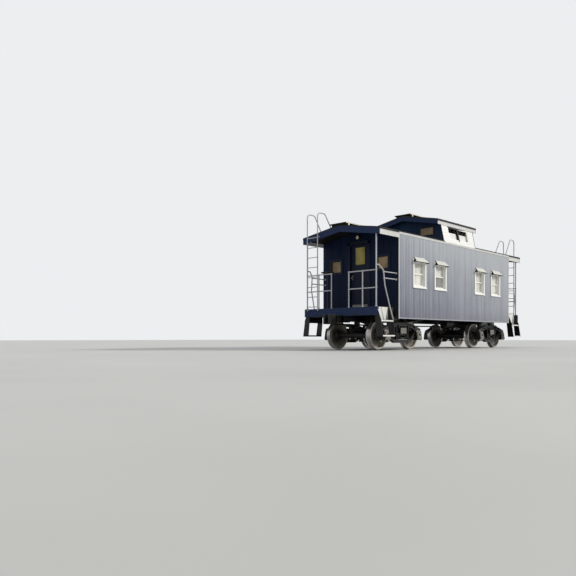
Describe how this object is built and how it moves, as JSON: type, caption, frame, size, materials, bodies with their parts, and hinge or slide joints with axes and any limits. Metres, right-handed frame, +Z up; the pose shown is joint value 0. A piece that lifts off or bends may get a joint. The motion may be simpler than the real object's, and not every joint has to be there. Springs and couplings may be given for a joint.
{
  "type": "railway caboose with a cupola",
  "caption": "Wooden-bodied railway caboose with a roof cupola, hooded side windows, open end platforms with railings and ladders, on swivelling four-wheel trucks.",
  "frame": {"origin": "under the middle of the car, at the bottom of the wheel flanges", "axes": "+X along the car towards end b, +Y to the car's right side, +Z up"},
  "size_m": [10.142, 3.14, 4.4778],
  "materials": {
    "side_paint": "faded slate blue paint on tongue-and-groove boards",
    "end_paint": "navy paint on boards",
    "trim_paint": "white gloss paint",
    "fascia_paint": "weathered pale grey-white paint",
    "roof_cover": "black coated roof sheets",
    "deck_wood": "bare weathered planks",
    "board_wood": "weathered roof-walk planks",
    "iron_black": "black paint, dusty",
    "step_white": "black side plates with white tread edges",
    "rail_paint": "light grey enamel",
    "cast_iron": "oiled dark casting",
    "wheel_steel": "worn tread, rusty web",
    "spring_steel": "dark oiled steel",
    "hinge_steel": "satin",
    "hood_paint": "white enamel",
    "door_paint": "navy paint on a panelled door",
    "lamp_glass": "opal globe",
    "blind_cloth": "plain woven roller blind",
    "clear_glass": "window glass"
  },
  "bodies": {
    "car_body": {"side_wall_left": "side_paint", "side_wall_right": "side_paint", "end_wall_a": "end_paint", "end_wall_b": "end_paint", "main_roof": "roof_cover", "fascia_boards": "fascia_paint", "cabin_floor": "deck_wood", "cupola_sides": "trim_paint", "cupola_ends": "end_paint", "cupola_roof": "roof_cover", "window_frames": "trim_paint", "window_hoods": "hood_paint", "window_glass": "clear_glass", "window_blinds": "blind_cloth", "cupola_panels": "trim_paint", "door_hinges": "hinge_steel", "centre_sill": "iron_black", "side_sills": "iron_black", "cross_bearers": "iron_black", "body_bolsters": "iron_black", "end_sills": "iron_black", "platforms": "deck_wood", "steps": "step_white", "couplers": "cast_iron", "brake_cylinder": "iron_black", "air_reservoir": "iron_black", "train_pipe": "iron_black", "platform_posts": "rail_paint", "railing_bars": "rail_paint", "step_handrails": "rail_paint", "ladder_stiles": "rail_paint", "ladder_rungs": "rail_paint", "brake_stands": "rail_paint", "end_lamps": "lamp_glass", "running_boards": "board_wood"},
    "door_a": {"door_a": "door_paint", "door_a_glass": "clear_glass"},
    "truck_a": {"truck_a_sideframes": "cast_iron", "truck_a_bolster": "cast_iron", "truck_a_springs": "spring_steel", "truck_a_spring_plank": "cast_iron", "truck_a_brakes": "cast_iron"},
    "wheelset_a1": {"wheelset_a1": "wheel_steel"},
    "wheelset_a2": {"wheelset_a2": "wheel_steel"},
    "door_b": {"door_b": "door_paint", "door_b_glass": "clear_glass"},
    "truck_b": {"truck_b_sideframes": "cast_iron", "truck_b_bolster": "cast_iron", "truck_b_springs": "spring_steel", "truck_b_spring_plank": "cast_iron", "truck_b_brakes": "cast_iron"},
    "wheelset_b1": {"wheelset_b1": "wheel_steel"},
    "wheelset_b2": {"wheelset_b2": "wheel_steel"}
  },
  "joints": [
    {"name": "truck_a_swivel", "type": "hinge", "parent": "car_body", "child": "truck_a", "pos_m": [-2.89, 0, 0.688], "axis": [0, 0, 1], "range_deg": [-5, 5]},
    {"name": "wheelset_a1_spin", "type": "hinge", "parent": "truck_a", "child": "wheelset_a1", "pos_m": [-3.728, 0, 0.447], "axis": [0, 1, 0], "continuous": true},
    {"name": "wheelset_a2_spin", "type": "hinge", "parent": "truck_a", "child": "wheelset_a2", "pos_m": [-2.052, 0, 0.447], "axis": [0, 1, 0], "continuous": true},
    {"name": "door_a_hinge", "type": "hinge", "parent": "car_body", "child": "door_a", "pos_m": [-3.491, -0.336, 1.256], "axis": [0, 0, -1], "range_deg": [0, 100]},
    {"name": "truck_b_swivel", "type": "hinge", "parent": "car_body", "child": "truck_b", "pos_m": [2.89, 0, 0.688], "axis": [0, 0, -1], "range_deg": [-5, 5]},
    {"name": "wheelset_b1_spin", "type": "hinge", "parent": "truck_b", "child": "wheelset_b1", "pos_m": [3.728, 0, 0.447], "axis": [0, 1, 0], "continuous": true},
    {"name": "wheelset_b2_spin", "type": "hinge", "parent": "truck_b", "child": "wheelset_b2", "pos_m": [2.052, 0, 0.447], "axis": [0, 1, 0], "continuous": true},
    {"name": "door_b_hinge", "type": "hinge", "parent": "car_body", "child": "door_b", "pos_m": [3.491, 0.336, 1.256], "axis": [0, 0, -1], "range_deg": [0, 100]}
  ]
}
